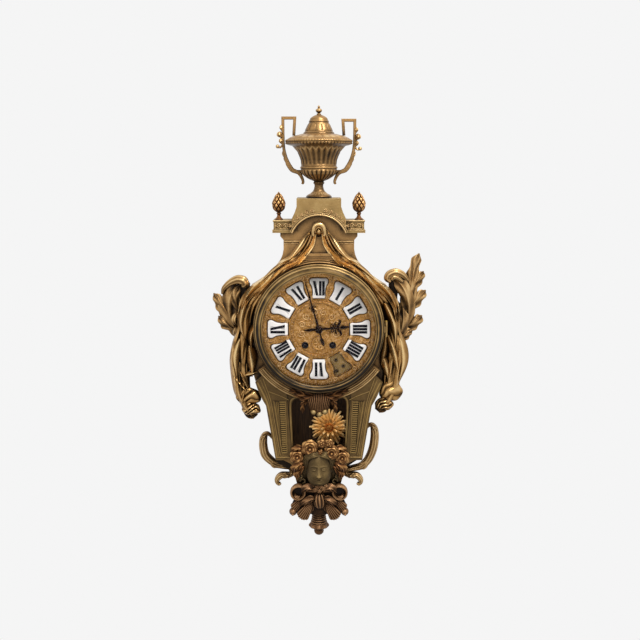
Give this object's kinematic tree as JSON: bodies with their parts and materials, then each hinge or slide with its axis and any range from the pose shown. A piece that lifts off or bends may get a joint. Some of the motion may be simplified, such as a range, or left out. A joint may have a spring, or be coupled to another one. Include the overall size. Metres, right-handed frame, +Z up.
{
  "type": "cartel clock",
  "caption": "Wall clock in a gilt bronze case with an urn, drapery and mask, a hinged glazed bezel over enamel hour plaques, and a pendulum seen between two tapered piers.",
  "frame": {"origin": "centre of the hanging hole at the front face of the hanger plate", "axes": "+X to the viewer's right, +Y into the wall along the hanging hole, +Z up"},
  "size_m": [0.403, 0.1278, 0.8334],
  "materials": {
    "gilt_bronze": "cast and worn gilding",
    "copper_gilt": "cast, coppery worn gilding",
    "bezel_gilt": "turned, satin",
    "sunflower_gilt": "stamped, satin",
    "dial_gilt": "cast with a grained ground",
    "enamel": "glossy white with dark numerals",
    "clear_glass": "clear",
    "blued_steel": "darkened",
    "clock_brass": "polished",
    "bell_metal": "turned",
    "bright_steel": "polished",
    "oak": "stained",
    "black_iron": "blackened"
  },
  "bodies": {
    "clock_case": {"case_body": "gilt_bronze", "pediment": "gilt_bronze", "plinth_left": "gilt_bronze", "plinth_right": "gilt_bronze", "urn_foot": "gilt_bronze", "urn_bowl": "gilt_bronze", "urn_lid": "gilt_bronze", "urn_finial": "gilt_bronze", "handle_left": "gilt_bronze", "handle_right": "gilt_bronze", "drapery_boss": "gilt_bronze", "drapery_left": "gilt_bronze", "drapery_right": "gilt_bronze", "leaf_right": "gilt_bronze", "shell": "gilt_bronze", "scroll_left": "gilt_bronze", "scroll_right": "gilt_bronze", "mask": "gilt_bronze", "pendant_cluster": "gilt_bronze", "pendant_drop": "gilt_bronze", "pier_left": "gilt_bronze", "pier_right": "gilt_bronze", "pine_cones": "copper_gilt", "leaf_left": "copper_gilt", "dial_ring": "bezel_gilt", "dial_plate": "dial_gilt", "enamel_plaques": "enamel", "front_plate": "clock_brass", "rear_plate": "clock_brass", "suspension_cock": "clock_brass", "bell_stand": "clock_brass", "hinge_pin": "clock_brass", "board_screws": "clock_brass", "bell": "bell_metal", "back_board": "oak", "hanger_plate": "black_iron"},
    "bezel_door": {"bezel": "bezel_gilt", "glass": "clear_glass"},
    "minute": {"minute_hand": "blued_steel", "cannon_pinion": "clock_brass", "hand_collet": "blued_steel"},
    "minute_work": {"minute_wheel": "clock_brass"},
    "hour": {"hour_hand": "blued_steel", "hour_wheel": "clock_brass"},
    "escape": {"escape_wheel": "clock_brass"},
    "third": {"third_wheel": "clock_brass"},
    "centre": {"centre_wheel": "clock_brass"},
    "intermediate": {"intermediate_wheel": "clock_brass"},
    "going_drum": {"going_barrel": "clock_brass"},
    "going_key": {"going_arbor": "bright_steel"},
    "anchor_crutch": {"anchor": "bright_steel"},
    "pendulum": {"pendulum_rod": "bright_steel", "pendulum_bob": "sunflower_gilt", "rating_nut": "clock_brass"},
    "strike_fly": {"fly": "clock_brass"},
    "strike_pin": {"pin_wheel": "clock_brass"},
    "strike_second": {"second_wheel": "clock_brass"},
    "strike_drum": {"strike_barrel": "clock_brass"},
    "strike_key": {"strike_arbor": "bright_steel"},
    "hammer_arm": {"hammer": "bright_steel"}
  },
  "joints": [
    {"name": "bezel_hinge", "type": "hinge", "parent": "clock_case", "child": "bezel_door", "pos_m": [0.1255, -0.099, -0.165], "axis": [0, 0, 1], "range_deg": [0, 95]},
    {"name": "minute_hand_turn", "type": "hinge", "parent": "clock_case", "child": "minute", "pos_m": [0, -0.064, -0.165], "axis": [0, 1, 0], "continuous": true},
    {"name": "minute_wheel_turn", "type": "hinge", "parent": "clock_case", "child": "minute_work", "pos_m": [0.01103, -0.064, -0.15574], "axis": [0, 1, 0], "continuous": true},
    {"name": "hour_hand_turn", "type": "hinge", "parent": "clock_case", "child": "hour", "pos_m": [0, -0.064, -0.165], "axis": [0, 1, 0], "continuous": true},
    {"name": "escape_wheel_turn", "type": "hinge", "parent": "clock_case", "child": "escape", "pos_m": [0, -0.064, -0.13097], "axis": [0, 1, 0], "continuous": true},
    {"name": "third_wheel_turn", "type": "hinge", "parent": "clock_case", "child": "third", "pos_m": [-0.00999, -0.064, -0.1454], "axis": [0, 1, 0], "continuous": true},
    {"name": "centre_wheel_turn", "type": "hinge", "parent": "clock_case", "child": "centre", "pos_m": [0, -0.064, -0.165], "axis": [0, 1, 0], "continuous": true},
    {"name": "intermediate_wheel_turn", "type": "hinge", "parent": "clock_case", "child": "intermediate", "pos_m": [0.02246, -0.064, -0.16863], "axis": [0, 1, 0], "continuous": true},
    {"name": "going_barrel_turn", "type": "hinge", "parent": "clock_case", "child": "going_drum", "pos_m": [0.026, -0.064, -0.196], "axis": [0, 1, 0], "continuous": true},
    {"name": "going_winding", "type": "hinge", "parent": "clock_case", "child": "going_key", "pos_m": [0.026, -0.064, -0.196], "axis": [0, 1, 0], "continuous": true},
    {"name": "pendulum_swing", "type": "hinge", "parent": "clock_case", "child": "pendulum", "pos_m": [0, -0.034, -0.11497], "axis": [0, 1, 0], "range_deg": [-1.5, 10.5]},
    {"name": "anchor_rock", "type": "hinge", "parent": "clock_case", "child": "anchor_crutch", "pos_m": [0, -0.054, -0.11497], "axis": [0, 1, 0], "range_deg": [-1.5, 10.5]},
    {"name": "fly_turn", "type": "hinge", "parent": "clock_case", "child": "strike_fly", "pos_m": [-0.02761, -0.064, -0.13901], "axis": [0, 1, 0], "continuous": true},
    {"name": "pin_wheel_turn", "type": "hinge", "parent": "clock_case", "child": "strike_pin", "pos_m": [-0.03548, -0.064, -0.15265], "axis": [0, 1, 0], "continuous": true},
    {"name": "second_wheel_turn", "type": "hinge", "parent": "clock_case", "child": "strike_second", "pos_m": [-0.034, -0.064, -0.16958], "axis": [0, 1, 0], "continuous": true},
    {"name": "strike_barrel_turn", "type": "hinge", "parent": "clock_case", "child": "strike_drum", "pos_m": [-0.026, -0.064, -0.196], "axis": [0, 1, 0], "continuous": true},
    {"name": "strike_winding", "type": "hinge", "parent": "clock_case", "child": "strike_key", "pos_m": [-0.026, -0.064, -0.196], "axis": [0, 1, 0], "continuous": true},
    {"name": "hammer_lift", "type": "hinge", "parent": "clock_case", "child": "hammer_arm", "pos_m": [-0.04, -0.024, -0.199], "axis": [0, 1, 0], "range_deg": [-14, 0], "stiffness_Nm_per_rad": 0.02, "springref_deg": 2.86}
  ],
  "couplings": [
    {"joint": "minute_wheel_turn", "follows": "minute_hand_turn", "ratio": -0.33333},
    {"joint": "hour_hand_turn", "follows": "minute_hand_turn", "ratio": 0.083333},
    {"joint": "third_wheel_turn", "follows": "escape_wheel_turn", "ratio": -0.083333},
    {"joint": "centre_wheel_turn", "follows": "escape_wheel_turn", "ratio": 0.0083333},
    {"joint": "intermediate_wheel_turn", "follows": "escape_wheel_turn", "ratio": -0.0013889},
    {"joint": "going_barrel_turn", "follows": "escape_wheel_turn", "ratio": 0.00020833},
    {"joint": "anchor_rock", "follows": "pendulum_swing", "ratio": 1},
    {"joint": "pin_wheel_turn", "follows": "fly_turn", "ratio": -0.09375},
    {"joint": "second_wheel_turn", "follows": "fly_turn", "ratio": 0.0125},
    {"joint": "strike_barrel_turn", "follows": "fly_turn", "ratio": -0.001875}
  ]
}
